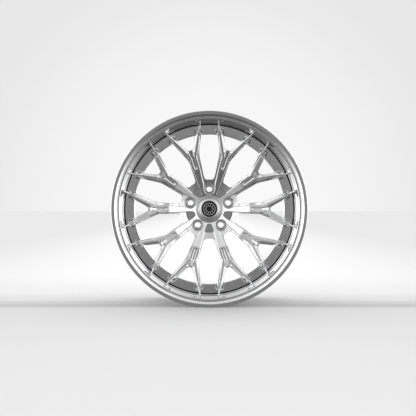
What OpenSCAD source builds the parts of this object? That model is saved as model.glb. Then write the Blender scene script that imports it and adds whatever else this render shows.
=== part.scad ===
// Forged multi-piece wheel: polished stepped outer lip, inner barrel and a centre with ten Y-spokes.
// The wheel stands upright. Its axle runs along Y, its front looks towards -Y, +Z is up,
// and the origin is the wheel's centre. Depths are measured back from the front flange plane.

/* [Rim] */
// Diameter of the bead seats
bead_seat_d = 512.8; // [511:0.1:514]
// Height of the rim flange above the bead seat
flange_h = 17.5; // [17:0.1:18]
// Width between the tyre sides of the two flanges
rim_w = 241.3; // [239:0.1:245]
// Thickness of one flange, from its tyre side to its outer face
flange_t = 12.35; // [12:0.05:12.8]
// Inner radius of the barrel at the drop centre
well_r = 232; // [231.5:0.1:232.5]

/* [Centre] */
// Depth of the mounting ring's front face
ring_depth = 44; // [43.5:0.1:44.5]
// Inner radius of the mounting ring
ring_in_r = 212.6; // [212:0.1:213]
// Depth of the spoke crests where a spoke splits
trunk_depth = 57.5; // [57:0.1:58]
// Radius at which a spoke splits into two strands
split_r = 117; // [115:0.5:119]
// Depth of the hub mounting face, which sets the wheel's offset
pad_depth = 108; // [107:0.5:110]
// Radius of the hub mounting pad
pad_r = 76; // [75:0.5:77]
// Radius of the bottom of the windows
window_r = 85; // [84.5:0.1:86]

/* [Wheel bolts] */
// Number of wheel bolts
lug_count = 5; // [5]
// Pitch circle diameter of the wheel bolts
lug_pcd = 114.3; // [114:0.1:114.6]
// Radius of each wheel bolt hole
lug_hole_r = 7.7; // [7.3:0.1:7.9]
// Radius of the pocket round each wheel bolt
lug_pocket_r = 17.3; // [16.8:0.1:17.6]
// Radius of the vehicle hub's spigot
spigot_r = 33.3; // [32.8:0.05:33.5]

/* [Assembly hardware] */
// Number of assembly bolts
bolt_count = 30; // [30]
// Radius of the assembly bolts' circle
bolt_circle_r = 224; // [223.7:0.1:224.2]
// Radius of an assembly bolt's shank
bolt_r = 3.5; // [3.4:0.05:3.6]

/* [Valve] */
// Angle of the valve, clockwise from the top, seen from the front
valve_angle = 171.2; // [171:0.1:172]
// Depth of the valve's axis
valve_depth = 94; // [92:0.5:100]

/* [Hidden] */
$fn = 96;

overall_w = rim_w + 2 * flange_t;
half_w = overall_w / 2;
bead_r = bead_seat_d / 2;
flange_r = bead_r + flange_h;
spoke_count = 10;
gap_angle = 360 / spoke_count;
cut = 1;                       // how far a cutter runs past the face it opens
slip = 0.05;                   // radial clearance of a located fit

// Outer lip and its step
lip_face_r = 264.2;            // inner edge of the front flange's flat face
step_out_r = 258.6;
step_in_r = 252.4;
step_depth = 8.6;
wall_top = [251.4, 9.6];       // radius and depth where the cone wall starts
wall_foot = [243.6, 40];       // and where it ends
recess_r = 242.4;              // wall round the centre's mounting ring
flange_in_r = 216;             // inner radius of both assembly flanges
lip_flange = [62, 68];         // front and back of the lip's assembly flange
barrel_flange = [68, 75];      // front and back of the barrel's assembly flange
join_r = 246.5;                // tyre-side radius where the halves meet
well_t = 5.5;                  // wall thickness of the drop centre

// Mounting ring of the centre
ring_out_r = 238.4;
ring_register_depth = 53;      // behind this depth the ring fills the lip's recess
seal_front_depth = 47;

// Hub
bore_depth = 90;               // front end of the hub bore
hub_bore_r = 36.55;
cap_bore_r = 30.2;
cap_seat_r = 32.8;
cap_seat_depth = 68;
boss_r = 38.5;
boss_depth = 65.4;
land_depth = 69.5;
land_r = 78;
web_depth = 72;
web_r = 97;
lug_floor_depth = 84;
pocket_depth = 81.5;           // floor of the blind pockets between the wheel bolts
insert_r = 12.2;
insert_back_depth = 99;

// Spokes, in the frame of a spoke whose axis is +Y and whose wheel-bolt side is -X
crest_half = 2.5;
strand_x = 7.8;
kink = [-7, 152.5];            // where the wheel-bolt side leg leaves its strand
kink_pocket = [4.8, 150];      // the same for the other leg
foot = [47.8, 234];            // where a leg's crest crosses the seam, both sides
hub_crest_depth = 67.5;        // crest depth where a spoke meets the hub's boss
kink_depth = 46.5;
rim_edge_depth = 31;           // crest depth over the ring's inner edge
foot_depth = 24;
tip_depth = 10.5;
leg_half = 9.4;
leg_drop = 7.5;
blade_half = 2.3;
ring_overlap = 26;             // length of a leg over the mounting ring
tip_overhang = 14.5;           // length of a blade tip past the seam
member_h = 70;                 // members reach this far back before the back face trims them

// Valve, in its own frame: z = 0 on the barrel's inner wall, z+ towards the axle
valve_seat = 2;
valve_spot = -4.5;
valve_hole_r = 4.2;
stem_r = 3.95;
stem_top = 24;
stem_bore_r = 2.2;
stem_head_r = 7.6;
stem_head = [-8.8, -6.3];      // outer and inner end of the stem's head
grommet_r = 8;
valve_washer_r = 8.2;
valve_washer_top = 3.2;
valve_nut_r = 6.9;
valve_nut_top = 8;
core_span = [12, 22];          // ends of the valve core's body
core_chamber_r = 1.8;
core_chamber_top = 21.4;
core_hole_r = 0.8;
pin_r = 0.7;
pin_span = [6, 23.5];
pin_disc_r = 1.5;              // sealing disc at the pin's lower end
pin_collar_r = 1.4;            // collar that the spring presses on
pin_collar_at = 19;
valve_cap_r = 5;
valve_cap_span = [14, 26.5];
cap_inside_top = 24.9;
cap_seal_t = 0.6;

// Assembly hardware
washer_back = barrel_flange[1] + 1.4;
washer_r = 6.9;
bolt_front = 51;               // tip of a bolt, inside its insert
bolt_flange_r = 6.2;
bolt_flange_back = 78;
bolt_head_r = 5.6;
bolt_back = 84;
bolt_recess_r = 3;
bolt_recess = 2.5;
thread_r = 4.7;                // outside of a thread insert
thread_front = 50.5;
seal_groove_r = 240;           // O-ring groove in the barrel's joint face
seal_groove_half = 1.7;
seal_groove_depth = 2.4;
seal_wire_r = 1.19;

// Centre cap; its depths are measured from its seat, and negative is in front of the seat
insert_face_r = 22.8;          // black disc in the cap's recess
trim_r = [16, 17.2];
trim_depth = [-5.4, -4.5];
skirt_r = 28.8;
skirt_groove_r = 27.9;
skirt_ring_r = 28.9;           // centre line of the spring ring and of the O-ring
skirt_wire_r = 0.99;
o_ring_at = 3;
spring_ring_at = 10;
skirt_slots = 6;
skirt_slot = [40, 4, 15.5];

function shifted(points) = [for (p = points) [p[0], half_w - p[1]]];
function mirrored(points) = [for (p = points) [p[0], overall_w - p[1]]];
function flipped(points) = [for (i = [len(points) - 1:-1:0]) points[i]];
function arc(centre, r, from, to, steps = 6) =
    [for (i = [0:steps]) let (a = from + (to - from) * i / steps) centre + r * [cos(a), sin(a)]];

// Tyre side of one flange as radius and depth, from the hump out to the flange's flat face
function flange_outline() = concat(
    [[bead_r - 1.8, 47], [bead_r - 0.4, 42.5], [bead_r - 1.75, 39]],
    arc([bead_r + 6.5, flange_t + 6.5], 6.5, 180, 270),
    arc([flange_r - 9.5, flange_t - 9.5], 9.5, 90, 0),
    arc([flange_r - 2.5, flange_t - 9.5], 2.5, 0, -90, 4),
    [[lip_face_r, 0]]);

// Turned solid from points of radius and depth
module turned(points) rotate_extrude() polygon(shifted(points));
module ring_bar(inner_r, outer_r, front, back)
    turned([[inner_r, front], [outer_r, front], [outer_r, back], [inner_r, back]]);
// Drilled or raised cylinder along the axle, from one depth to another
module axle_cylinder(r, front, back) translate([0, 0, half_w - back]) cylinder(r = r, h = back - front);
// Stands the wheel up: the front, +Z while building, turns to -Y
module upright() rotate([90, 0, 0]) children();
module on_circle(count, r, first = 0)
    for (i = [0:count - 1]) rotate([0, 0, first - i * 360 / count]) translate([0, r, 0]) children();

module outer_lip() color("silver") upright() difference() {
    turned(concat(
        flipped(flange_outline()),
        [[248.5, 58], [join_r, lip_flange[1]], [flange_in_r, lip_flange[1]], [flange_in_r, lip_flange[0]],
         [recess_r, lip_flange[0]], [recess_r, wall_foot[1] + 1.2], wall_foot, wall_top,
         [step_in_r, step_depth], [step_out_r - 2.4, step_depth - 1], [step_out_r, step_depth - 3]]));
    on_circle(bolt_count, bolt_circle_r) axle_cylinder(bolt_r, lip_flange[0] - cut, lip_flange[1] + cut);
}

module inner_barrel() color("gray") upright() difference() {
    union() {
        turned(concat(
            [[flange_in_r, barrel_flange[0]], [join_r, barrel_flange[0]], [240, 76],
             [well_r + well_t, 80], [well_r + well_t, 122], [245, 165], [247.5, 205]],
            mirrored(flange_outline()),
            [[259.5, 261], [251, 256], [249.5, 246], [247, 219], [241.5, 205], [239.5, 165],
             [well_r, 122], [well_r, 76], [well_r - 0.7, barrel_flange[1]],
             [flange_in_r, barrel_flange[1]]]));
        valve_place() translate([0, 0, -2.5]) cylinder(r = 10, h = valve_seat + 2.5);
    }
    on_circle(bolt_count, bolt_circle_r)
        axle_cylinder(bolt_r, barrel_flange[0] - cut, barrel_flange[1] + cut);
    ring_bar(seal_groove_r - seal_groove_half, seal_groove_r + seal_groove_half,
             barrel_flange[0] - cut, barrel_flange[0] + seal_groove_depth);
    valve_place() {
        translate([0, 0, -9]) cylinder(r = valve_hole_r, h = 20);
        translate([0, 0, valve_spot - 6]) cylinder(r = 9, h = 6);
    }
}

module seam_seal_ring() color("black") upright()
    ring_bar(ring_out_r, recess_r, seal_front_depth, ring_register_depth);

module rim_seal_ring() color("black") upright()
    rotate_extrude() translate([seal_groove_r, half_w - barrel_flange[0] - seal_groove_depth / 2])
        circle(r = seal_wire_r);

module assembly_bolts() color("dimgray") upright() on_circle(bolt_count, bolt_circle_r) {
    axle_cylinder(bolt_r - slip, bolt_front, washer_back);
    axle_cylinder(bolt_flange_r, washer_back, bolt_flange_back);
    translate([0, 0, half_w - bolt_back]) difference() {
        union() for (turn = [0, 30]) rotate([0, 0, turn])
            cylinder(r = bolt_head_r, h = bolt_back - bolt_flange_back, $fn = 6);
        translate([0, 0, -cut]) cylinder(r = bolt_recess_r, h = bolt_recess + cut);
    }
}

module assembly_washers() color("lightgray") upright() on_circle(bolt_count, bolt_circle_r)
    difference() {
        axle_cylinder(washer_r, barrel_flange[1], washer_back);
        axle_cylinder(bolt_r + 2 * slip, barrel_flange[1] - cut, washer_back + cut);
    }

module thread_inserts() color("darkgray") upright() on_circle(bolt_count, bolt_circle_r)
    difference() {
        axle_cylinder(thread_r, thread_front, lip_flange[0]);
        axle_cylinder(bolt_r, thread_front - cut, lip_flange[0] + cut);
    }

// A straight spoke member from crest point a to crest point b, both [x, y, depth], that also
// runs on inwards past a by lap. It has a flat crest, a bevelled flank each side and upright
// sides below the flanks.
module member(a, b, lap, half, left, right, drop_left, drop_right) {
    run = norm([b[0] - a[0], b[1] - a[1]]);
    rise = a[2] - b[2];
    translate([b[0], b[1], half_w - b[2]])
        rotate([0, 0, -atan2(b[0] - a[0], b[1] - a[1])])
            rotate([90 + atan2(rise, run), 0, 0])
                linear_extrude(norm([run, rise]) + lap)
                    polygon([[-half, 0], [half, 0], [right, -drop_right], [right, -member_h],
                             [-left, -member_h], [-left, -drop_left]]);
}

// Leg from its kink to the blade tip over the lip's wall; side is -1 on the wheel-bolt side
module leg(side, start) {
    seam_point = [side * foot[0], foot[1]];
    along = (seam_point - start) / norm(seam_point - start);
    rim_point = seam_point - ring_overlap * along;
    tip_point = seam_point + tip_overhang * along;
    rim_crest = [rim_point[0], rim_point[1], rim_edge_depth];
    seam_crest = [seam_point[0], seam_point[1], foot_depth];
    member([start[0], start[1], kink_depth], rim_crest, 9, crest_half, leg_half, leg_half,
           leg_drop, leg_drop);
    member(rim_crest, seam_crest, 2, blade_half, blade_half + 1, blade_half + 1, 8, 8);
    member(seam_crest, [tip_point[0], tip_point[1], tip_depth], 14, blade_half - 0.4, blade_half,
           blade_half, 5, 5);
}

module spoke() {
    strand_start = split_r - 6;
    member([-0.4, 38, hub_crest_depth], [-0.4, split_r, trunk_depth], 0, 8.2, 15.6, 14.2, 9, 9);
    member([-strand_x, strand_start, trunk_depth], [kink[0], kink[1], kink_depth], 4,
           crest_half, 11.5, 6, 8, 4);
    member([strand_x, strand_start, trunk_depth], [kink_pocket[0], kink_pocket[1], kink_depth], 4,
           crest_half, 6, 8, 4, 8);
    member([0, strand_start, trunk_depth + 8], [0, 164, kink_depth + 4], 0, 3, 9, 9, 3, 3);
    leg(-1, kink);
    leg(1, kink_pocket);
}

module all_spokes()
    for (k = [0:lug_count - 1]) for (m = [0, 1])
        rotate([0, 0, 2 * gap_angle * k]) mirror([m, 0, 0]) rotate([0, 0, -gap_angle / 2]) spoke();

// Bottom of a window: flat floor with round corners, opening outwards
module window_floor(half, side_half) {
    corner_r = 8.2;
    linear_extrude(overall_w, center = true) {
        for (side = [-1, 1]) translate([side * half, window_r + corner_r]) circle(r = corner_r);
        polygon([[-half, window_r], [half, window_r], [half + corner_r, window_r + corner_r],
                 [side_half, web_r + 8], [-side_half, web_r + 8], [-half - corner_r, window_r + corner_r]]);
    }
}

// Pocket outline between two wheel bolts: narrow towards the hub, arched outside
module pocket_outline()
    polygon(concat(arc([0, 47.2], 4, 215, 325), arc([9.6, 62], 4.6, -20, 80),
                   arc([-9.6, 62], 4.6, 100, 200)));

module hub_blank() turned([
    [cap_bore_r, cap_seat_depth], [cap_seat_r, cap_seat_depth], [cap_seat_r, boss_depth + 0.8],
    [cap_seat_r + 0.8, boss_depth], [boss_r - 0.8, boss_depth], [boss_r, boss_depth + 0.8],
    [boss_r + 2, land_depth], [land_r, land_depth + 2], [web_r - 10, web_depth], [web_r, web_depth],
    [web_r, 95], [84, 98], [pad_r, pad_depth], [hub_bore_r + 1.5, pad_depth],
    [hub_bore_r, pad_depth - 1.5], [hub_bore_r, bore_depth], [cap_bore_r, bore_depth - 3]]);

module centre_disc() color("silver") upright() difference() {
    union() {
        difference() {
            hub_blank();
            for (k = [0:lug_count - 1]) rotate([0, 0, 2 * gap_angle * k]) {
                window_floor(7.4, 17.6);
                rotate([0, 0, gap_angle]) window_floor(8.2, 20);
            }
        }
        intersection() {
            all_spokes();
            turned([[boss_r, 5], [250.7, 5], [250.7, 9.9], [243, 39.8], [241.4, 41], [241.4, 43],
                    [ring_in_r + 2, 43], [ring_in_r + 2, 61], [ring_in_r, 62], [84, 98], [boss_r, 98]]);
        }
        turned([[ring_in_r, ring_depth], [ring_out_r - 1, ring_depth], [ring_out_r, ring_depth + 1],
                [ring_out_r, ring_register_depth], [recess_r - slip, ring_register_depth],
                [recess_r - slip, lip_flange[0]], [ring_in_r, lip_flange[0]]]);
    }
    for (k = [0:lug_count - 1]) rotate([0, 0, 2 * gap_angle * k]) {
        translate([0, lug_pcd / 2, 0]) {
            axle_cylinder(lug_pocket_r, boss_depth - 10, lug_floor_depth);
            axle_cylinder(insert_r, boss_depth, insert_back_depth);
            axle_cylinder(lug_hole_r, boss_depth, pad_depth + cut);
        }
        translate([0, 0, half_w - land_depth - 9]) linear_extrude(30)
            polygon([[-lug_pocket_r, lug_pcd / 2], [lug_pocket_r, lug_pcd / 2], [lug_pocket_r + 1, 72],
                     [15, window_r + 2], [-15, window_r + 2], [-lug_pocket_r - 1, 72]]);
        rotate([0, 0, gap_angle]) {
            translate([0, 0, half_w - pocket_depth]) linear_extrude(25) pocket_outline();
            // relief in the mounting pad
            translate([0, 0, half_w - pad_depth - cut]) linear_extrude(9) pocket_outline();
        }
    }
    on_circle(bolt_count, bolt_circle_r) axle_cylinder(thread_r, thread_front, lip_flange[0] + cut);
}

module lug_seat_inserts() color("dimgray") upright() on_circle(lug_count, lug_pcd / 2)
    turned([[lug_hole_r, lug_floor_depth + 6.8], [lug_hole_r + 3.9, lug_floor_depth],
            [insert_r, lug_floor_depth], [insert_r, insert_back_depth], [lug_hole_r, insert_back_depth]]);

module hub_centric_ring() color("gray") upright()
    turned([[spigot_r, 96], [hub_bore_r - slip, 96], [hub_bore_r - slip, pad_depth - 1],
            [hub_bore_r - slip - 1, pad_depth], [spigot_r + 1, pad_depth], [spigot_r, pad_depth - 1]]);

module cap_place() upright() translate([0, 0, -cap_seat_depth]) children();

module cap_body() color("gray") cap_place() difference() {
    turned([[0, -3.2], [23.1, -3.2], [23.1, -4.9], [24.5, -5.4], [29, -4.8], [31.6, -3.4], [32.4, -1.6],
            [32.4, -0.3], [skirt_r, -0.3], [skirt_r, o_ring_at - 1], [skirt_groove_r, o_ring_at - 1],
            [skirt_groove_r, o_ring_at + 1], [skirt_r, o_ring_at + 1], [skirt_r, spring_ring_at - 1],
            [skirt_groove_r, spring_ring_at - 1], [skirt_groove_r, spring_ring_at + 1],
            [skirt_r, spring_ring_at + 1], [skirt_r, 15], [26.2, 16], [26.2, 1], [0, 0]]);
    for (i = [0:skirt_slots - 1]) rotate([0, 0, (i + 0.5) * 360 / skirt_slots])
        translate([0, -skirt_slot[1] / 2, half_w - 20]) cube(skirt_slot);
}

module cap_insert() color("black") cap_place()
    turned([[0, -5.4], [trim_r[0], -5.25], [trim_r[0], trim_depth[1]], [trim_r[1], trim_depth[1]],
            [trim_r[1], -5.2], [22, -4.9], [insert_face_r, -4.4], [insert_face_r, -3.2], [0, -3.2]]);

module cap_insert_ring() color("silver") cap_place()
    ring_bar(trim_r[0], trim_r[1], trim_depth[0], trim_depth[1]);

module skirt_ring(depth)
    rotate_extrude() translate([skirt_ring_r, half_w - depth]) circle(r = skirt_wire_r);
module cap_spring_ring() color("silver") cap_place() skirt_ring(spring_ring_at);
module cap_o_ring() color("black") cap_place() skirt_ring(o_ring_at);

module valve_place()
    rotate([0, 0, -valve_angle]) translate([0, well_r, half_w - valve_depth]) rotate([90, 0, 0]) children();

// Bar and tube along the valve's axis
module valve_bar(r, bottom, top) translate([0, 0, bottom]) cylinder(r = r, h = top - bottom);
module valve_tube(inner_r, outer_r, bottom, top) difference() {
    valve_bar(outer_r, bottom, top);
    valve_bar(inner_r, bottom - cut, top + cut);
}

module valve_stem() color("silver") upright() valve_place() difference() {
    union() {
        valve_bar(stem_head_r, stem_head[0], stem_head[1]);
        valve_bar(stem_r, stem_head[0], stem_top);
    }
    valve_bar(stem_bore_r, stem_head[0] - cut, stem_top + cut);
}

module valve_grommet() color("black") upright() valve_place()
    valve_tube(stem_r, grommet_r, stem_head[1], valve_spot);
module valve_washer() color("silver") upright() valve_place()
    valve_tube(stem_r + 3 * slip, valve_washer_r, valve_seat, valve_washer_top);
module valve_nut() color("silver") upright() valve_place() difference() {
    translate([0, 0, valve_washer_top])
        cylinder(r = valve_nut_r, h = valve_nut_top - valve_washer_top, $fn = 6);
    valve_bar(stem_r, valve_washer_top - cut, valve_nut_top + cut);
}

module valve_core_body() color("gold") upright() valve_place() difference() {
    valve_bar(stem_bore_r, core_span[0], core_span[1]);
    valve_bar(core_chamber_r, core_span[0] + 1, core_chamber_top);
    valve_bar(core_hole_r, core_span[0] - cut, core_span[1] + cut);
}

module valve_core_pin() color("gold") upright() valve_place() {
    valve_bar(pin_r, pin_span[0] + 0.5, pin_span[1]);
    valve_bar(pin_disc_r, pin_span[0], pin_span[0] + 2);
    valve_bar(pin_collar_r, pin_collar_at, pin_collar_at + 1);
}

// Points of one ring of the coil spring's wire
function coil_ring(turn, wire_r, coil_r, pitch, sides) =
    [for (s = [0:sides - 1]) let (a = 360 * s / sides, r = coil_r + wire_r * cos(a))
        [r * cos(360 * turn), r * sin(360 * turn), pitch * turn + wire_r * sin(a)]];

module coil(wire_r, coil_r, pitch, turns, steps, sides) {
    rings = turns * steps;
    points = [for (i = [0:rings]) each coil_ring(i / steps, wire_r, coil_r, pitch, sides)];
    walls = [for (i = [0:rings - 1]) for (s = [0:sides - 1])
        let (a = i * sides + s, b = i * sides + (s + 1) % sides) [a, a + sides, b + sides, b]];
    ends = [[for (s = [0:sides - 1]) s], [for (s = [sides - 1:-1:0]) rings * sides + s]];
    polyhedron(points, concat(walls, ends));
}

module valve_core_spring() color("silver") upright() valve_place()
    translate([0, 0, core_span[0] + 1.3])
        coil(wire_r = 0.22, coil_r = 1.2, pitch = 0.9, turns = 4, steps = 12, sides = 6);

module valve_cap() color("black") upright() valve_place() difference() {
    valve_bar(valve_cap_r, valve_cap_span[0], valve_cap_span[1]);
    valve_bar(stem_r + slip, valve_cap_span[0] - cut, cap_inside_top);
}

module valve_cap_seal() color("red") upright() valve_place()
    valve_bar(stem_r, cap_inside_top - cap_seal_t, cap_inside_top);

centre_disc();
outer_lip();
inner_barrel();
seam_seal_ring();
rim_seal_ring();
assembly_bolts();
assembly_washers();
thread_inserts();
lug_seat_inserts();
hub_centric_ring();
cap_body();
cap_insert();
cap_insert_ring();
cap_spring_ring();
cap_o_ring();
valve_stem();
valve_grommet();
valve_washer();
valve_nut();
valve_core_body();
valve_core_pin();
valve_core_spring();
valve_cap();
valve_cap_seal();
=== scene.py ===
import math

import bmesh
import bpy
from mathutils import Matrix, Vector


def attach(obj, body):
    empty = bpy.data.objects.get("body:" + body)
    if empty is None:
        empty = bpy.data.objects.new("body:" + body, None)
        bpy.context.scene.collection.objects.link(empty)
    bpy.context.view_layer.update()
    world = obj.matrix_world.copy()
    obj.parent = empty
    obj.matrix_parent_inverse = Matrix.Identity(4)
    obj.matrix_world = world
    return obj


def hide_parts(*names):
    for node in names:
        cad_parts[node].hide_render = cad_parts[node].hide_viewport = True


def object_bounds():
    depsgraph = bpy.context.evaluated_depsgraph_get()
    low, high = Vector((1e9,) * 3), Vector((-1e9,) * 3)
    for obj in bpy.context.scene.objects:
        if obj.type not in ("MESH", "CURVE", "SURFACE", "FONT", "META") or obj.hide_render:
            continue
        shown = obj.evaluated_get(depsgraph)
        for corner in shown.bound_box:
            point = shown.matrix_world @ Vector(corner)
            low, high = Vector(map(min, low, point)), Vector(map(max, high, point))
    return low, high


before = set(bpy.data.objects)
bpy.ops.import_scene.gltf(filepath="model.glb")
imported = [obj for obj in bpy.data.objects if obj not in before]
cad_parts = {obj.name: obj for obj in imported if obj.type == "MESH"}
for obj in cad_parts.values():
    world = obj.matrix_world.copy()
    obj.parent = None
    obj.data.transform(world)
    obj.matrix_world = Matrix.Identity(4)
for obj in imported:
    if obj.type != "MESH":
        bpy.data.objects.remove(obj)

# ---------------------------------------------------------------------------
# Frame: everything is worked out in millimetres in the wheel's own terms:
# x to the right, y up, and depth back from the front flange plane.
# ---------------------------------------------------------------------------
MM = 0.001
cad_box = [list(corner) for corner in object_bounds()]
FRONT_Y = cad_box[0][1]
WIDTH = (cad_box[1][1] - cad_box[0][1]) / MM
RIM_R = cad_box[1][2] / MM
SPOKES = 10
HALF_GAP = math.pi / SPOKES


def place(x, y, depth):
    return Vector((x * MM, FRONT_Y + depth * MM, y * MM))


def lerp(a, b, t):
    return a + (b - a) * t


def polar(centre, radius, angle):
    """Point at a radius and clockwise angle from a centre."""
    return centre[0] + radius * math.sin(angle), centre[1] + radius * math.cos(angle)


def smooth_curve(points):
    """Monotone cubic curve through (x, value) points, held level past both ends."""
    xs = [p[0] for p in points]
    vs = [p[1] for p in points]
    steps = [xs[i + 1] - xs[i] for i in range(len(xs) - 1)]
    slopes = [(vs[i + 1] - vs[i]) / steps[i] for i in range(len(steps))]
    tangents = [slopes[0]]
    for i in range(1, len(slopes)):
        a, b = slopes[i - 1], slopes[i]
        tangents.append(0.0 if a * b <= 0 else 2 * a * b / (a + b))
    tangents.append(slopes[-1])

    def value(x):
        if x <= xs[0]:
            return vs[0]
        if x >= xs[-1]:
            return vs[-1]
        i = max(k for k in range(len(steps)) if xs[k] <= x)
        h = steps[i]
        t = (x - xs[i]) / h
        return (vs[i] * (1 + 2 * t) * (1 - t) ** 2 + h * tangents[i] * t * (1 - t) ** 2
                + vs[i + 1] * t * t * (3 - 2 * t) - h * tangents[i + 1] * t * t * (1 - t))

    return value


def filleted(corners, steps=5):
    """Closed outline from corners (a, b) or (a, b, radius), with each radius rounded."""
    outline = []
    count = len(corners)
    for i, corner in enumerate(corners):
        here = Vector(corner[:2])
        radius = corner[2] if len(corner) > 2 else 0
        if not radius:
            outline.append(here)
            continue
        back = (Vector(corners[i - 1][:2]) - here).normalized()
        ahead = (Vector(corners[(i + 1) % count][:2]) - here).normalized()
        half = back.angle(ahead) / 2
        middle = here + (back + ahead).normalized() * (radius / math.sin(half))
        first = here + back * (radius / math.tan(half)) - middle
        last = here + ahead * (radius / math.tan(half)) - middle
        turn = first.angle(last)
        for k in range(steps + 1):
            t = k / steps
            blend = (first * math.sin((1 - t) * turn) + last * math.sin(t * turn)) / math.sin(turn)
            outline.append(middle + blend)
    return outline


# ---------------------------------------------------------------------------
# Mesh helpers
# ---------------------------------------------------------------------------
def make_object(name, vertices, faces):
    mesh = bpy.data.meshes.new(name)
    mesh.from_pydata([tuple(v) for v in vertices], [], faces)
    piece = bpy.data.objects.new(name, mesh)
    bpy.context.scene.collection.objects.link(piece)
    return piece


def clean(piece, sharp_degrees=28, merge=0.00001):
    """Merges doubles, points the faces outwards and smooths all but the sharp edges."""
    work = bmesh.new()
    work.from_mesh(piece.data)
    bmesh.ops.remove_doubles(work, verts=work.verts, dist=merge)
    bmesh.ops.dissolve_degenerate(work, edges=work.edges, dist=merge)
    bmesh.ops.recalc_face_normals(work, faces=work.faces)
    work.to_mesh(piece.data)
    work.free()
    for polygon in piece.data.polygons:
        polygon.use_smooth = True
    piece.data.set_sharp_from_angle(angle=math.radians(sharp_degrees))
    return piece


def flatten_flats(piece):
    """Keeps flat faces flat in the shading, so that only the fillets between them turn."""
    weighting = piece.modifiers.new("flats", "WEIGHTED_NORMAL")
    weighting.keep_sharp = True
    weighting.weight = 80
    return piece


AXIS_R = 0.001


def turned(name, outline, steps=288, centre=(0, 0)):
    """Solid of revolution about the axle, or about a parallel axis, from (radius, depth) points."""
    vertices = []
    faces = []
    count = len(outline)
    for s in range(steps):
        angle = 2 * math.pi * s / steps
        for r, depth in outline:
            x, y = polar(centre, r, angle)
            vertices.append(place(x, y, depth))
    on_axle = [r < AXIS_R for r, depth in outline]
    for s in range(steps):
        for i in range(count):
            if on_axle[i] and on_axle[(i + 1) % count]:
                continue
            a, b = s * count + i, s * count + (i + 1) % count
            c, d = (s + 1) % steps * count + (i + 1) % count, (s + 1) % steps * count + i
            faces.append((a, b, c, d))
    return clean(make_object(name, vertices, faces))


def loft(name, levels, angle=0.0):
    """Solid through a list of (x, y) outline and depth, all turned clockwise by angle."""
    turn = Matrix.Rotation(-angle, 2)
    vertices = []
    for outline, depth in levels:
        vertices += [place(*(turn @ Vector(p)), depth) for p in outline]
    count = len(levels[0][0])
    last = (len(levels) - 1) * count
    faces = [tuple(range(count)), tuple(reversed(range(last, last + count)))]
    for k in range(0, last, count):
        for i in range(count):
            a, b = k + i, k + (i + 1) % count
            faces.append((a, a + count, b + count, b))
    return clean(make_object(name, vertices, faces))


def prism(name, outline, front, back, angle=0.0):
    return loft(name, [(outline, front), (outline, back)], angle)


def join(name, pieces):
    """One object from several, keeping every mesh."""
    work = bmesh.new()
    for piece in pieces:
        work.from_mesh(piece.data)
        bpy.data.objects.remove(piece)
    mesh = bpy.data.meshes.new(name)
    work.to_mesh(mesh)
    work.free()
    joined = bpy.data.objects.new(name, mesh)
    bpy.context.scene.collection.objects.link(joined)
    return joined


def combine(piece, other, operation):
    """Boolean of two closed objects, applied to the first; the second is used up."""
    modifier = piece.modifiers.new("combine", "BOOLEAN")
    modifier.solver = "MANIFOLD"
    modifier.operation = operation
    modifier.object = other
    settled = bpy.data.meshes.new_from_object(piece.evaluated_get(bpy.context.evaluated_depsgraph_get()))
    piece.modifiers.clear()
    piece.data = settled
    bpy.data.objects.remove(other)
    return piece


# ---------------------------------------------------------------------------
# Forged centre: ten Y-spokes. A spoke is drawn with its axis along +y; every
# curve gives a distance from that axis. "lug" is the side next to a wheel bolt.
# ---------------------------------------------------------------------------
LUG_R = 57.15
LUGS = 5
HUB_END_Y = 80.9
SPLIT_Y = 117.0
FORK_Y = 174.0
RIM_ENTRY_Y = 206.0
TIP_Y = 245.0
LEG_FOOT = (47.84, 233.96)

CREST_DEPTH = smooth_curve([(36, 68.8), (60, 65.4), (90, 61.2), (104, 59.2), (110, 58.25), (116, 57.1),
                            (122, 55.7), (130, 53.6), (152.7, 47.3), (180, 39.9), (212.6, 31.2), (236, 24.8),
                            (243, 19.6), (250.7, 9.9)])
BACK_DEPTH = smooth_curve([(84, 98), (130, 87), (212.6, 62), (217, 50), (222, 46.5), (234, 46),
                           (238.5, 43.4), (242.4, 42.6), (243.2, 39.6), (250.7, 10.8)])
# How far the floor between the crests lies below them: groove, crotch, then the fork's shoulder
FLOOR_DROP = smooth_curve([(116.5, 0), (117.5, 1.2), (119, 4), (121.5, 7.6), (126, 9), (150, 9), (158, 8.4),
                           (162, 6.2), (165, 5.6), (170, 5.4), (173.6, 5.4), (180, 4.8), (206, 5.0),
                           (214, 5.2), (220, 4.6), (226, 3.4), (234, 2.6), (245, 1.6)])
# How far the outer shoulder lies below the crest
SHOULDER_DROP = smooth_curve([(36, 5), (80, 5.4), (90, 5.8), (117, 5.8), (150, 6.2), (165, 5.4), (206, 5.0),
                              (214, 5.2), (220, 4.6), (226, 3.4), (234, 2.6), (245, 1.6)])


class Side:
    """One half of a spoke: the curves that differ between the wheel-bolt side and the pocket side."""

    def __init__(self, u_centre, u_radius, u_top, rib, leg_start, leg_end, window, fork, join_y):
        self.u_centre, self.u_radius, self.u_top = u_centre, u_radius, u_top
        self.rib = smooth_curve(rib)
        self.leg_start, self.leg_end, self.join_y = leg_start, leg_end, join_y
        self.window = smooth_curve(window)
        self.fork = smooth_curve(fork)
        self.strand = smooth_curve([(SPLIT_Y, 7.3), (join_y - 10, 7.3), (join_y, self.leg_line(join_y) + 0.9),
                                    (join_y + 10, self.leg_line(join_y + 10))])

    def leg_line(self, y):
        (x0, y0), (x1, y1) = self.leg_start, self.leg_end
        return x0 + (y - y0) * (x1 - x0) / (y1 - y0)

    def centre(self, y):
        return self.strand(y) if y < self.join_y + 10 else self.leg_line(y)

    def rib_edge(self, y):
        limit = y * math.tan(HALF_GAP)
        dy = y - self.u_centre[1]
        if y < self.u_top:
            if abs(dy) >= self.u_radius:
                return limit
            return min(limit, self.u_centre[0] - math.sqrt(self.u_radius ** 2 - dy ** 2))
        return min(limit, self.rib(y))


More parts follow.
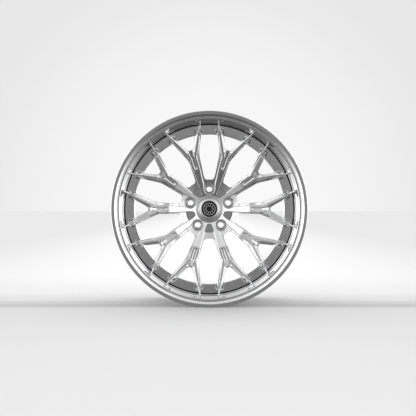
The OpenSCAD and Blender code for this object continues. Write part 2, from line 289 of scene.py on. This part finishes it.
# Half widths of a leg's crest, of the blade over the ring, and of the groove between the crests
CREST_HALF = smooth_curve([(118, 2.9), (180, 2.9), (200, 2.6), (210, 2.0), (219, 0.9), (234, 0.7),
                           (245, 0.5)])
BLADE_HALF = smooth_curve([(206, 9.8), (210, 9.0), (215, 7.0), (220, 4.8), (225, 3.4), (230, 2.7),
                           (245, 1.9)])
GROOVE_HALF = smooth_curve([(116.5, 0.2), (118, 1.1), (121, 1.9), (125, 2.1), (156, 2.2), (163, 3.4),
                            (173, 6)])
# Outer edge of the rib: a bevel, then a steep wall down to the flank's foot
BEVEL = smooth_curve([(36, 0.9), (SPLIT_Y, 0.9), (140, 1.2), (TIP_Y, 0.5)])
BEVEL_SLOPE = 0.68
FOOT_AT = smooth_curve([(36, 2.6), (SPLIT_Y, 2.5), (140, 2.0), (TIP_Y, 1.0)])
FOOT_DEPTH = smooth_curve([(36, 4.9), (90, 5.7), (SPLIT_Y, 5.7), (140, 5.2), (165, 3.0), (TIP_Y, 1.2)])
CREST_INNER = smooth_curve([(116.5, 0.8), (117.6, 2.1), (119.5, 3.4), (123, 4.3), (140, 4.4)])

lug_side = Side(
    u_centre=(17.66, 54.35), u_radius=17.4, u_top=62,
    rib=[(62, 2.1), (71.3, 4.9), (97.9, 7.5), (118, 9.5), (124, 10.2)],
    leg_start=(7.0, 152.5), leg_end=LEG_FOOT, join_y=152.5,
    window=[(80.8, 26.3), (81.6, 22.6), (83.2, 19.2), (85.6, 16.6), (89, 15.4), (94, 15.2), (98, 15.4),
            (106.7, 16.1), (128, 18.4), (146, 20.2), (152, 21.2), (158.3, 23.0), (165, 25.4), (174, 29.3),
            (201.5, 41.3), (206, 43.3)],
    fork=[(174, 0), (174.4, 2.3), (175.5, 4.6), (177.6, 6.9), (181, 9.4), (208.7, 24.9)])
pocket_side = Side(
    u_centre=(16.22, 49.93), u_radius=10.5, u_top=52,
    rib=[(52, 5.9), (56, 5.7), (71.3, 6.9), (97.9, 7.9), (118, 8.9), (124, 10.0)],
    leg_start=(4.8, 150.0), leg_end=LEG_FOOT, join_y=149.0,
    window=[(80.8, 26.3), (81.6, 22.2), (83.4, 18.3), (85.8, 15.4), (89.5, 14.0), (94, 13.7), (107.5, 13.9),
            (130, 13.9), (143, 14.5), (148, 15.5), (152, 17.0), (159, 20.2), (174.7, 27.4), (202, 40.1),
            (206, 42.0)],
    fork=[(174, 0), (174.4, 2.2), (175.5, 4.1), (177.6, 5.9), (181, 8.2), (208.7, 23.7)])


def spoke_row(side, y):
    """Cross-section of half a spoke at y, from its inner edge over the crest and round the back."""
    limit = y * math.tan(HALF_GAP)
    in_hub = y < HUB_END_Y
    forked = y > FORK_Y + 0.01
    over_rim = y > RIM_ENTRY_Y
    inner, outer = 0.0, limit if in_hub else side.window(y)
    crest_in, crest_out = CREST_INNER(y), side.rib_edge(y)
    if y > SPLIT_Y + 7:
        middle, half = side.centre(y), CREST_HALF(y)
        crest_in, crest_out = max(middle - half, crest_in), middle + half
    if forked:
        inner = side.fork(y)
    if over_rim:
        inner, outer = middle - BLADE_HALF(y), middle + BLADE_HALF(y)
    crest_out = min(crest_out, outer)
    crest = CREST_DEPTH(math.hypot((crest_in + crest_out) / 2, y)) if y > SPLIT_Y else CREST_DEPTH(y)
    axis_depth = CREST_DEPTH(y) + FLOOR_DROP(y)
    back_in, back_out = BACK_DEPTH(math.hypot(inner, y)), BACK_DEPTH(math.hypot(outer, y))
    floor = min(crest + FLOOR_DROP(y) if forked else axis_depth, back_in - 0.2)
    shoulder = min(crest + SHOULDER_DROP(y), back_out - 0.2)

    # outer flank: a nearly flat shelf at the rib's foot near the hub, a plain bevel over the ring
    if crest_out > limit - 0.05:
        shoulder = crest
        foot = shelf = outer
        near_depth = foot_depth = shelf_depth = crest
    elif over_rim:
        foot, shelf = lerp(crest_out, outer, 0.4), lerp(crest_out, outer, 0.7)
        near_depth = crest
        foot_depth, shelf_depth = lerp(crest, shoulder, 0.4), lerp(crest, shoulder, 0.7)
    else:
        foot, shelf = min(crest_out + FOOT_AT(y), outer), min(crest_out + FOOT_AT(y) + 0.9, outer)
        near_depth = crest + BEVEL_SLOPE * BEVEL(y) if crest_out + BEVEL(y) < outer else shoulder
        foot_depth = crest + FOOT_DEPTH(y) if foot < outer else shoulder
        shelf_depth = lerp(foot_depth, shoulder, 0.2) if shelf < outer else shoulder

    # inner side: groove floor, crotch, or the flank next to the fork's window
    floor_edge, floor_edge_depth = min(GROOVE_HALF(y), crest_in * 0.8), floor
    if forked:
        floor_edge, floor_edge_depth = lerp(inner, crest_in, 0.3), lerp(floor, crest, 0.3)
    bevel = min(1.3, crest_in * 0.4) if FLOOR_DROP(y) > 1 else 0.0

    edge = 0.0 if in_hub or over_rim else 1.0
    inner_edge = edge if forked else 0.0
    rim_soft = min(1.4, max(0.4, (outer - foot) * 0.5)) * edge
    return [(inner + 0.8 * inner_edge, floor - 0.1 * inner_edge),
            (floor_edge, floor_edge_depth),
            (max(crest_in - bevel, floor_edge + 0.05), crest + BEVEL_SLOPE * bevel),
            (crest_in, crest),
            (crest_out, crest),
            (min(crest_out + BEVEL(y), foot), near_depth),
            (foot, foot_depth),
            (shelf, shelf_depth),
            (outer - rim_soft, shoulder),
            (outer - 0.6 * edge, shoulder + 0.9 * edge),
            (outer, min(shoulder + 2.6 * edge, back_out - 0.1)),
            (outer, back_out - 2.5 * edge),
            (outer - 2.0 * edge, back_out),
            (inner + 2.0 * inner_edge, back_in),
            (inner, back_in - 2.5 * inner_edge),
            (inner, min(floor + 2.2 * inner_edge, back_in - 0.1))]


def row_positions():
    """Where the cross-sections lie: close together where the shape turns, wider apart elsewhere."""
    return [37.2, 37.9, 38.3, 38.9, 39.9, 40.5, 41.4, 42.6, 44, 46, 48, 50.5, 53, 56, 59, 62, 66, 71, 76,
             80.8, 81.6, 82.4, 83.4, 84.6, 86.2, 88.2, 91, 95, 100, 106, 112, 115, 116.5, 117, 117.6, 118.3,
             119.2, 120.4, 121.8, 123.6, 126, 130, 135, 140, 143, 146, 148, 150, 152, 154, 156, 158, 160, 162,
             163.5, 165, 167, 169, 171, 172.6, 173.6, 174, 174.4, 175, 175.8, 176.8, 178.2, 180, 183, 187,
             192, 197, 202, 204.5, 206, 207.5, 209, 210.5, 212.5, 215, 218, 222, 226, 230, 233, 235.5, 238,
             240.5, 243, TIP_Y]


# Faces left out where a half spoke meets its neighbour in the hub and its twin on the spoke's axis
OUTER_WALL = 10
INNER_WALL = 14


def half_spoke(side, mirror, turn):
    """Vertices and faces of half a spoke, in its place round the wheel."""
    rows = row_positions()
    vertices = []
    faces = []
    for y in rows:
        for x, depth in spoke_row(side, y):
            flat = turn @ Vector((x * mirror, y))
            vertices.append(place(flat.x, flat.y, depth))
    columns = len(vertices) // len(rows)
    for i in range(len(rows) - 1):
        hub = rows[i + 1] < HUB_END_Y
        joined_at_axis = rows[i + 1] <= FORK_Y + 0.01
        for j in range(columns):
            if (hub and j == OUTER_WALL) or (joined_at_axis and j == INNER_WALL):
                continue
            k = (j + 1) % columns
            a, b = i * columns + j, i * columns + k
            c, d = (i + 1) * columns + k, (i + 1) * columns + j
            faces.append((a, b, c, d))
    last = (len(rows) - 1) * columns
    faces.append(tuple(range(last, last + columns)))
    faces.append(tuple(reversed(range(columns))))
    return vertices, faces


def forged_spokes():
    vertices = []
    faces = []
    for k in range(SPOKES // 2):
        for spin, sides in ((1, (lug_side, pocket_side)), (-1, (pocket_side, lug_side))):
            axis = 4 * HALF_GAP * k + spin * HALF_GAP
            turn = Matrix.Rotation(-axis, 2)
            for mirror, side in ((-1, sides[0]), (1, sides[1])):
                part_vertices, part_faces = half_spoke(side, mirror, turn)
                base = len(vertices)
                vertices += part_vertices
                faces += [tuple(base + v for v in face) for face in part_faces]
    return clean(make_object("spokes", vertices, faces), merge=0.00002)


def hub_solid():
    return turned("hub", filleted([
        (30.2, 68), (32.8, 68), (32.8, 65.6, 0.3), (33.6, 65.1, 0.5), (38.5, 66, 0.9), (39.3, 69.5),
        (39.6, 94), (75, 94), (76, 96), (76, 108, 1.4), (36.55, 108, 1.2), (36.55, 90), (30.2, 87)], 4), 180)


def mounting_ring():
    return turned("mounting_ring", filleted([
        (212.6, 44, 1.2), (237.6, 44, 0.3), (238.4, 44.9, 0.3), (238.4, 53), (242.35, 53), (242.35, 62),
        (212.6, 62, 1.5)], 4), 360)


def pocket_outline(corner_r):
    side = [(6.2, 42.8, 4), (10.9, 53.5, 10), (14.4, 66, corner_r)]
    return filleted([(-x, y, r) for x, y, r in side] + [(0, 69.2, 60)] + list(reversed(side)), 6)


SLOT_LEVELS = [(6.1, 40), (6.1, 43.9), (4.0, 45.3), (3.8, 47.5), (3.2, 49.3), (2.0, 50.5), (0.8, 51)]
SLOT_REACH = 16.0
SLOT_OFFSET = 6.2
SLOT_SETBACK = 14.5
SLOT_ARC_STEPS = 20
LEG_ROOT = (6.0, 151.0)


def foot_slots():
    """Round-ended slots milled into the mounting ring with a ball-ended cutter, two at every leg's foot."""
    cutters = []
    for spoke in range(SPOKES):
        for side in (-1, 1):
            foot = Vector((side * LEG_FOOT[0], LEG_FOOT[1]))
            along = (foot - Vector((side * LEG_ROOT[0], LEG_ROOT[1]))).normalized()
            across = Vector((along.y, -along.x))
            for offset in (-SLOT_OFFSET, SLOT_OFFSET):
                end = foot - along * SLOT_SETBACK + across * offset
                levels = []
                for radius, depth in SLOT_LEVELS:
                    outline = []
                    for k in range(SLOT_ARC_STEPS):
                        angle = 2 * math.pi * (k + 0.5) / SLOT_ARC_STEPS
                        reach = 0.0 if k < SLOT_ARC_STEPS // 2 else -SLOT_REACH
                        outline.append(end + across * (radius * math.cos(angle))
                                       + along * (radius * math.sin(angle) + reach))
                    levels.append((outline, depth))
                cutters.append(loft("slot", levels, HALF_GAP * (2 * spoke + 1)))
    return join("foot_slots", cutters)


def lug_centres():
    return [polar((0, 0), LUG_R, 4 * HALF_GAP * k) for k in range(LUGS)]


def lug_bores():
    """Counterbore, seat for the steel insert and through hole at each wheel bolt."""
    outline = filleted([(0, 50), (17.1, 50), (17.1, 84, 2.2), (12.25, 84), (12.25, 99), (7.7, 99), (7.7, 112),
                        (0, 112)])
    return join("lug_bores", [turned("lug_bore", outline, 72, centre) for centre in lug_centres()])


def blind_pockets(corner_r, front, back):
    """Pockets milled into the hub between the wheel bolts, from the front or as relief at the back."""
    angles = [4 * HALF_GAP * k + 2 * HALF_GAP for k in range(LUGS)]
    return join("blind_pockets", [prism("pocket", pocket_outline(corner_r), front, back, a) for a in angles])


def build_centre():
    ring = combine(mounting_ring(), foot_slots(), "DIFFERENCE")
    centre = combine(forged_spokes(), hub_solid(), "UNION")
    centre = combine(centre, lug_bores(), "DIFFERENCE")
    centre = combine(centre, blind_pockets(4.5, 50, 81.5), "DIFFERENCE")
    centre = combine(centre, blind_pockets(3, 100, 112), "DIFFERENCE")
    centre = combine(centre, ring, "UNION")
    centre.name = "forged_centre"
    return clean(centre)


# ---------------------------------------------------------------------------
# Rim halves
# ---------------------------------------------------------------------------
def flange_corners():
    """Tyre side of a flange from the hump out to the flat face, as (radius, depth, rounding)."""
    bead = RIM_R - 17.5
    return [(bead - 1.8, 47.5, 3), (bead - 0.3, 42.6, 2.5), (bead - 1.75, 38.5, 2), (bead, 12.35, 6.4),
            (RIM_R, 12.35, 9.2), (RIM_R, 0, 1.5)]


def build_lip():
    outline = filleted(list(reversed(flange_corners())) + [
        (248.5, 58, 8), (246.5, 68), (216, 68, 0.5), (216, 62, 0.5), (242.4, 62), (242.4, 41.2, 0.4),
        (243.6, 40, 0.3), (251.2, 9.4, 0.6), (252.4, 8.3, 0.4), (256.8, 8.1, 1.2), (258.8, 5.6, 0.8),
        (264.2, 0, 1.2)], 6)
    return turned("polished_lip", outline, 384)


def build_barrel():
    rear = [(r, WIDTH - depth, rounding) for r, depth, rounding in flange_corners()]
    outline = filleted([
        (216, 68, 0.5), (246.5, 68, 0.3), (240, 76, 4), (237.5, 82, 8), (237.5, 122, 30), (245, 165, 40),
        (247.5, 205, 8)] + rear + [
        (264.2, WIDTH, 1.2), (259.5, WIDTH - 5, 3), (250.5, WIDTH - 11, 5), (249.5, WIDTH - 22, 10),
        (247, 219, 12), (241.5, 205, 20), (239.5, 165, 40), (232, 122, 30), (232, 75, 1.2),
        (216, 75, 0.5)], 6)
    return turned("turned_barrel", outline, 384)


# ---------------------------------------------------------------------------
# Small parts
# ---------------------------------------------------------------------------
CAP_SEAT = 68.0


def build_seam_seal():
    return turned("seam_seal", filleted([
        (238.45, 47, 0.7), (242.35, 47, 0.7), (242.35, 52.95), (238.45, 52.95)]))


def build_lug_seats():
    """Steel seats for the conical wheel bolts, pressed into the centre."""
    outline = filleted([(7.7, 90.8, 0.8), (11.4, 84, 0.5), (12.2, 84, 0.3), (12.2, 98.9), (7.7, 98.9)])
    return join("lug_seats", [turned("seat", outline, 72, centre) for centre in lug_centres()])


def seated(corners):
    """Cap outlines are given from the cap's seat, where negative is in front of it."""
    return [(corner[0], CAP_SEAT + corner[1], *corner[2:]) for corner in corners]


def build_cap_housing():
    return turned("cap_housing", filleted(seated([
        (0, -3.2), (23.1, -3.2), (23.1, -4.9, 0.3), (24.3, -5.4, 0.5), (28.6, -4.9, 0.6), (29.4, -4.2, 0.3),
        (31.7, -3.6, 0.5), (32.4, -2.4, 0.4), (32.4, -0.3), (28.8, -0.3), (28.8, 2), (27.9, 2), (27.9, 4),
        (28.8, 4), (28.8, 9), (27.9, 9), (27.9, 11), (28.8, 11), (28.8, 14.6, 0.4), (26.2, 15.8), (26.2, 1),
        (0, 0.2)]), 4), 144)


def build_cap_face():
    """Black cap face, gently domed, with a channel for the bright ring and a dished centre."""
    return turned("cap_face", filleted(seated([
        (0, -4.6), (7, -4.6, 1), (7.8, -5.2, 0.4), (15.9, -5.2, 0.3), (15.9, -4.5), (17.3, -4.5),
        (17.3, -5.15, 0.2), (21.6, -4.9, 0.6), (22.8, -4.3, 0.3), (22.8, -3.25), (0, -3.25)]), 4), 144)


def build_cap_trim():
    """Bright ring and ten short bars, a plain pattern that echoes the ten spokes."""
    ring = seated([(15.9, -5.4, 0.2), (17.3, -5.4, 0.2), (17.3, -4.5), (15.9, -4.5)])
    parts = [turned("ring", filleted(ring, 3), 144)]
    bar = [(-0.8, 7.6), (0.8, 7.6), (1.2, 12.6), (-1.2, 12.6)]
    for k in range(SPOKES):
        parts.append(prism("bar", bar, CAP_SEAT - 5.38, CAP_SEAT - 5.15, HALF_GAP * (2 * k + 1)))
    return join("cap_trim", parts)


BOLT_CIRCLE_R = 224
BOLT_SPACING = math.radians(12)
BOLTS = 30
STAR_POINTS = 12
STAR_OUTER_R, STAR_INNER_R = 5.6, 4.9


def build_bolts():
    """Flanged twelve-point assembly bolts, heads at the back."""
    bolts = []
    for number in range(BOLTS):
        centre = polar((0, 0), BOLT_CIRCLE_R, number * BOLT_SPACING)
        bolts.append(turned("shank", filleted([
            (0, 51), (2.9, 51), (3.45, 51.8), (3.45, 76.4), (6.2, 76.4, 0.3), (6.2, 77.6, 0.4), (5.2, 78.4),
            (0, 78.4)], 2), 32, centre))
        star = [polar(centre, STAR_INNER_R if i % 2 else STAR_OUTER_R, math.pi * i / STAR_POINTS)
                for i in range(2 * STAR_POINTS)]
        bolts.append(prism("head", star, 78.2, 83.6))
        bolts.append(turned("crown", filleted([
            (3.0, 83.5), (4.9, 83.5), (4.5, 84), (3.4, 84, 0.2), (3.0, 82.4)], 2), 24, centre))
    return join("assembly_bolt_set", bolts)


# ---------------------------------------------------------------------------
# Materials: every one is made of nodes that work in the part's own coordinates
# ---------------------------------------------------------------------------
TURNED, SATIN, MOULDED = "turned", "satin", "moulded"


def surface(name, colour, metallic, roughness, grain=SATIN, scale=220.0, relief=0.02, mottle=0.04, coat=0.0):
    """Principled surface with grain: turned rings round the axle, fine satin, or moulded texture."""
    material = bpy.data.materials.new(name)
    material.use_nodes = True
    nodes, links = material.node_tree.nodes, material.node_tree.links
    shader = nodes["Principled BSDF"]
    shader.inputs["Metallic"].default_value = metallic
    shader.inputs["Coat Weight"].default_value = coat
    shader.inputs["Coat Roughness"].default_value = 0.05
    where = nodes.new("ShaderNodeTexCoord").outputs["Object"]
    if grain == TURNED:
        axes = nodes.new("ShaderNodeSeparateXYZ")
        links.new(where, axes.inputs[0])
        flat = nodes.new("ShaderNodeCombineXYZ")
        links.new(axes.outputs["X"], flat.inputs["X"])
        links.new(axes.outputs["Z"], flat.inputs["Z"])
        length = nodes.new("ShaderNodeVectorMath")
        length.operation = "LENGTH"
        links.new(flat.outputs[0], length.inputs[0])
        rings = nodes.new("ShaderNodeCombineXYZ")
        links.new(length.outputs["Value"], rings.inputs["X"])
        links.new(axes.outputs["Y"], rings.inputs["Y"])
        where = rings.outputs[0]
    noise = nodes.new("ShaderNodeTexNoise")
    noise.inputs["Scale"].default_value = scale * (12 if grain == TURNED else 1)
    noise.inputs["Detail"].default_value = 6.0
    links.new(where, noise.inputs["Vector"])
    bump = nodes.new("ShaderNodeBump")
    bump.inputs["Strength"].default_value = relief
    bump.inputs["Distance"].default_value = 0.0004
    links.new(noise.outputs["Fac"], bump.inputs["Height"])
    links.new(bump.outputs["Normal"], shader.inputs["Normal"])
    spread = nodes.new("ShaderNodeMapRange")
    spread.inputs["To Min"].default_value = roughness * 0.8
    spread.inputs["To Max"].default_value = roughness * 1.2
    links.new(noise.outputs["Fac"], spread.inputs["Value"])
    links.new(spread.outputs["Result"], shader.inputs["Roughness"])
    patches = nodes.new("ShaderNodeTexNoise")
    patches.inputs["Scale"].default_value = 24.0
    patches.inputs["Detail"].default_value = 4.0
    links.new(nodes["Texture Coordinate"].outputs["Object"], patches.inputs["Vector"])
    tint = nodes.new("ShaderNodeValToRGB")
    tint.color_ramp.elements[0].position = 0.3
    tint.color_ramp.elements[1].position = 0.7
    tint.color_ramp.elements[0].color = (*[c * (1 - mottle) for c in colour], 1)
    tint.color_ramp.elements[1].color = (*[min(1.0, c * (1 + mottle)) for c in colour], 1)
    links.new(patches.outputs["Fac"], tint.inputs["Fac"])
    links.new(tint.outputs["Color"], shader.inputs["Base Color"])
    return material


forged_metal = surface("forged_metal", (0.82, 0.82, 0.825), 1.0, 0.15, SATIN, 260, 0.02, 0.025)
polished_metal = surface("polished_metal", (0.92, 0.92, 0.925), 1.0, 0.09, TURNED, 260, 0.004, 0.01)
barrel_metal = surface("barrel_metal", (0.62, 0.62, 0.63), 1.0, 0.28, TURNED, 200, 0.06, 0.05)
machined_metal = surface("machined_metal", (0.76, 0.76, 0.765), 1.0, 0.22, TURNED, 240, 0.04, 0.03)
seat_steel = surface("seat_steel", (0.66, 0.66, 0.67), 1.0, 0.34, SATIN, 400, 0.04, 0.04)
bolt_steel = surface("bolt_steel", (0.3, 0.3, 0.31), 1.0, 0.38, SATIN, 500, 0.05, 0.08)
plated_steel = surface("plated_steel", (0.7, 0.7, 0.69), 1.0, 0.25, SATIN, 500, 0.03, 0.05)
brass = surface("brass", (0.72, 0.52, 0.24), 1.0, 0.3, SATIN, 500, 0.03, 0.06)
black_gloss = surface("black_gloss", (0.006, 0.006, 0.0065), 0.0, 0.2, MOULDED, 700, 0.01, 0.1)
cap_print = surface("cap_print", (0.6, 0.6, 0.61), 0.5, 0.4, SATIN, 500, 0.02, 0.04)
rubber = surface("rubber", (0.018, 0.018, 0.019), 0.0, 0.75, MOULDED, 900, 0.12, 0.15)
seam_black = surface("seam_black", (0.012, 0.012, 0.013), 0.0, 0.6, MOULDED, 900, 0.08, 0.15)
moulded_black = surface("moulded_black", (0.02, 0.02, 0.022), 0.0, 0.5, MOULDED, 1100, 0.1, 0.12)
seal_red = surface("seal_red", (0.35, 0.03, 0.02), 0.0, 0.6, MOULDED, 900, 0.08, 0.1)

CARRIED_OVER = {
    "assembly_washers": plated_steel, "thread_inserts": plated_steel, "hub_centric_ring": machined_metal,
    "cap_spring_ring": plated_steel, "cap_o_ring": rubber, "rim_seal_ring": rubber,
    "valve_stem": plated_steel, "valve_grommet": rubber, "valve_washer": plated_steel,
    "valve_nut": plated_steel, "valve_core_body": brass, "valve_core_pin": brass,
    "valve_core_spring": plated_steel, "valve_cap": moulded_black, "valve_cap_seal": seal_red}


def dress(piece, material):
    piece.data.materials.clear()
    piece.data.materials.append(material)


def put_in(piece, nodes, material, body="wheel"):
    dress(flatten_flats(piece), material)
    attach(piece, body)
    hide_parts(*nodes)


put_in(build_centre(), ["centre_disc"], forged_metal)
put_in(build_lip(), ["outer_lip"], polished_metal)
put_in(build_barrel(), ["inner_barrel"], barrel_metal)
put_in(build_seam_seal(), ["seam_seal_ring"], seam_black)
put_in(build_lug_seats(), ["lug_seat_inserts"], seat_steel)
put_in(build_bolts(), ["assembly_bolts"], bolt_steel)
put_in(build_cap_housing(), ["cap_body"], machined_metal, "centre_cap")
put_in(build_cap_face(), ["cap_insert"], black_gloss, "centre_cap")
put_in(build_cap_trim(), ["cap_insert_ring"], cap_print, "centre_cap")
for carried_node, carried_material in CARRIED_OVER.items():
    dress(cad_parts[carried_node], carried_material)

# ---------------------------------------------------------------------------
# Studio
# ---------------------------------------------------------------------------
FLOOR_Z = -RIM_R * MM
FLOOR_REACH = 60
# Floor tones along y, painted shade: a painted shadow band darkest just in front of the wheel, lighter
# further away
FLOOR_PAINTED_SHADOW_TONES = [(-0.5, 0.76), (-0.16, 0.74), (-0.085, 0.57), (-0.015, 0.67), (0.06, 0.77), (0.3, 0.86),
               (0.9, 0.91)]
FLOOR_RAMP_START, FLOOR_RAMP_LENGTH = -0.5, 1.5
CAMERA_DISTANCE = 2.2
CAMERA_SHIFT = (-0.00375, 0.003)
OVERHEAD_STRENGTH = 0.3


def build_camera():
    data = bpy.data.cameras.new("camera")
    data.lens = 68.54
    data.sensor_width = 36
    camera = bpy.data.objects.new("camera", data)
    camera.location = (CAMERA_SHIFT[0], FRONT_Y - CAMERA_DISTANCE, CAMERA_SHIFT[1])
    camera.rotation_euler = (math.pi / 2, 0, 0)
    bpy.context.scene.collection.objects.link(camera)
    bpy.context.scene.camera = camera


def build_floor():
    """Pale floor with painted shade: a painted shadow band darkest just in front of the wheel, lighter
    further away, and painted shade greyer off to the sides.
    """
    corners = [(x * FLOOR_REACH, y * FLOOR_REACH, FLOOR_Z) for x, y in ((-1, -1), (1, -1), (1, 1), (-1, 1))]
    floor = make_object("floor", corners, [(0, 1, 2, 3)])
    paint = bpy.data.materials.new("floor_paint")
    paint.use_nodes = True
    nodes, links = paint.node_tree.nodes, paint.node_tree.links
    shader = nodes["Principled BSDF"]
    shader.inputs["Roughness"].default_value = 0.8
    shader.inputs["Specular IOR Level"].default_value = 0.0
    axes = nodes.new("ShaderNodeSeparateXYZ")
    links.new(nodes.new("ShaderNodeTexCoord").outputs["Object"], axes.inputs[0])
    depth = nodes.new("ShaderNodeMapRange")
    depth.inputs["From Min"].default_value = FLOOR_RAMP_START
    depth.inputs["From Max"].default_value = FLOOR_RAMP_START + FLOOR_RAMP_LENGTH
    links.new(axes.outputs["Y"], depth.inputs["Value"])
    # Painted shadow: this ramp darkens the floor's colour in a band at the wheel
    shade = nodes.new("ShaderNodeValToRGB")
    links.new(depth.outputs["Result"], shade.inputs["Fac"])
    ramp = shade.color_ramp
    ramp.interpolation = "EASE"
    ramp.elements[0].position, ramp.elements[1].position = 0.0, 1.0
    for y, tone in FLOOR_PAINTED_SHADOW_TONES[1:-1]:
        ramp.elements.new((y - FLOOR_RAMP_START) / FLOOR_RAMP_LENGTH)
    for element, (y, tone) in zip(ramp.elements, FLOOR_PAINTED_SHADOW_TONES):
        element.position = (y - FLOOR_RAMP_START) / FLOOR_RAMP_LENGTH
        element.color = (tone, tone, tone, 1)
    # Painted shade: the floor's colour turns greyer off to the sides
    aside = nodes.new("ShaderNodeMath")
    aside.operation = "ABSOLUTE"
    links.new(axes.outputs["X"], aside.inputs[0])
    painted_side_shade = nodes.new("ShaderNodeMapRange")
    painted_side_shade.interpolation_type = "SMOOTHSTEP"
    painted_side_shade.inputs["From Min"].default_value = 0.2
    painted_side_shade.inputs["From Max"].default_value = 1.6
    painted_side_shade.inputs["To Min"].default_value = 1.0
    painted_side_shade.inputs["To Max"].default_value = 0.82
    links.new(aside.outputs[0], painted_side_shade.inputs["Value"])
    side_shaded_floor = nodes.new("ShaderNodeVectorMath")
    side_shaded_floor.operation = "SCALE"
    links.new(shade.outputs["Color"], side_shaded_floor.inputs[0])
    links.new(painted_side_shade.outputs["Result"], side_shaded_floor.inputs["Scale"])
    links.new(side_shaded_floor.outputs["Vector"], shader.inputs["Base Color"])
    floor.data.materials.append(paint)
    floor.visible_glossy = False


def build_overhead_light():
    """Large soft light overhead: it lights the floor and gives the wheel its soft shadow."""
    light = bpy.data.lights.new("overhead", "SUN")
    light.energy = OVERHEAD_STRENGTH
    light.angle = math.radians(70)
    lamp = bpy.data.objects.new("overhead", light)
    lamp.rotation_euler = (math.radians(-12), 0, 0)
    lamp.visible_glossy = False
    bpy.context.scene.collection.objects.link(lamp)


WALL_STRENGTH = 0.21


def build_world():
    """Soft studio seen in the metal, and a pale backdrop seen by the camera, with painted shade darkening it
    towards the frame's edges.

    A dim wall stands behind the camera, the sides are bright, the top softer and the low part dark.
    Brightness follows the height round the axle, and the angle in degrees away from it.
    """
    world = bpy.data.worlds.new("studio")
    bpy.context.scene.world = world
    world.use_nodes = True
    nodes, links = world.node_tree.nodes, world.node_tree.links

    def feed(node, values):
        for socket, value in zip(node.inputs, values):
            if isinstance(value, (int, float)):
                socket.default_value = value
            else:
                links.new(value, socket)
        return node.outputs[0]

    def maths(operation, *values):
        node = nodes.new("ShaderNodeMath")
        node.operation = operation
        return feed(node, values)

    def curve(value, points):
        """Smooth curve through (input, output) points with outputs up to 2."""
        low, high = points[0][0], points[-1][0]
        scaled = feed(nodes.new("ShaderNodeMapRange"), (value, low, high))
        node = nodes.new("ShaderNodeFloatCurve")
        knots = node.mapping.curves[0].points
        spots = [((x - low) / (high - low), y / 2) for x, y in points]
        knots[0].location, knots[1].location = spots[0], spots[-1]
        for spot in spots[1:-1]:
            knots.new(*spot)
        for knot in knots:
            knot.handle_type = "AUTO_CLAMPED"
        node.mapping.update()
        links.new(scaled, node.inputs["Value"])
        return maths("MULTIPLY", node.outputs[0], 2.0)

    direction = nodes.new("ShaderNodeSeparateXYZ")
    links.new(nodes.new("ShaderNodeTexCoord").outputs["Generated"], direction.inputs[0])
    x, y, z = direction.outputs
    off_axis = maths("SQRT", maths("MAXIMUM", maths("SUBTRACT", 1.0, maths("MULTIPLY", y, y)), 0.0001))
    height = maths("DIVIDE", z, off_axis)
    degrees = maths("MULTIPLY", maths("ARCCOSINE", maths("MULTIPLY", y, -1.0)), 180 / math.pi)
    around = curve(height, [(-1, 0.11), (-0.9, 0.14), (-0.75, 0.24), (-0.55, 0.55), (-0.32, 1.3), (0, 1.9),
                            (0.5, 1.7), (0.8, 1.3), (0.94, 0.92), (1, 0.8)])
    outward = curve(degrees, [(0, 1), (18.5, 1.0), (22, 0.75), (28, 0.75), (32, 1.0), (36, 0.95), (42, 0.5),
                              (50, 0.45), (66, 0.7), (90, 0.9), (180, 1.0)])
    near_axis = curve(degrees, [(0, 1), (9.5, 1), (11, 0.6), (13, 0.08), (14.5, 0), (17.5, 0), (20.5, 0.85),
                                (29.5, 0.85), (32, 0), (180, 0)])
    floor_glow = curve(degrees, [(0, 0), (35, 0), (46, 0.12), (64, 0.12), (82, 0), (180, 0)])
    studio = nodes.new("ShaderNodeMix")
    links.new(near_axis, studio.inputs["Factor"])
    links.new(maths("ADD", maths("MULTIPLY", around, outward), floor_glow), studio.inputs["A"])
    studio.inputs["B"].default_value = WALL_STRENGTH
    seen = nodes.new("ShaderNodeMix")
    links.new(nodes.new("ShaderNodeLightPath").outputs["Is Camera Ray"], seen.inputs["Factor"])
    links.new(studio.outputs["Result"], seen.inputs["A"])
    # Painted shade: the backdrop seen by the camera darkens from the middle towards the frame's edges
    links.new(curve(degrees, [(0, 0.8), (160, 0.8), (170, 0.9), (176, 0.95), (180, 0.96)]), seen.inputs["B"])
    background = nodes["Background"]
    background.inputs["Color"].default_value = (1, 1, 1, 1)
    links.new(seen.outputs["Result"], background.inputs["Strength"])
    world.cycles.sampling_method = "NONE"


build_camera()
build_floor()
build_overhead_light()
build_world()
bpy.context.scene.view_settings.view_transform = "Standard"
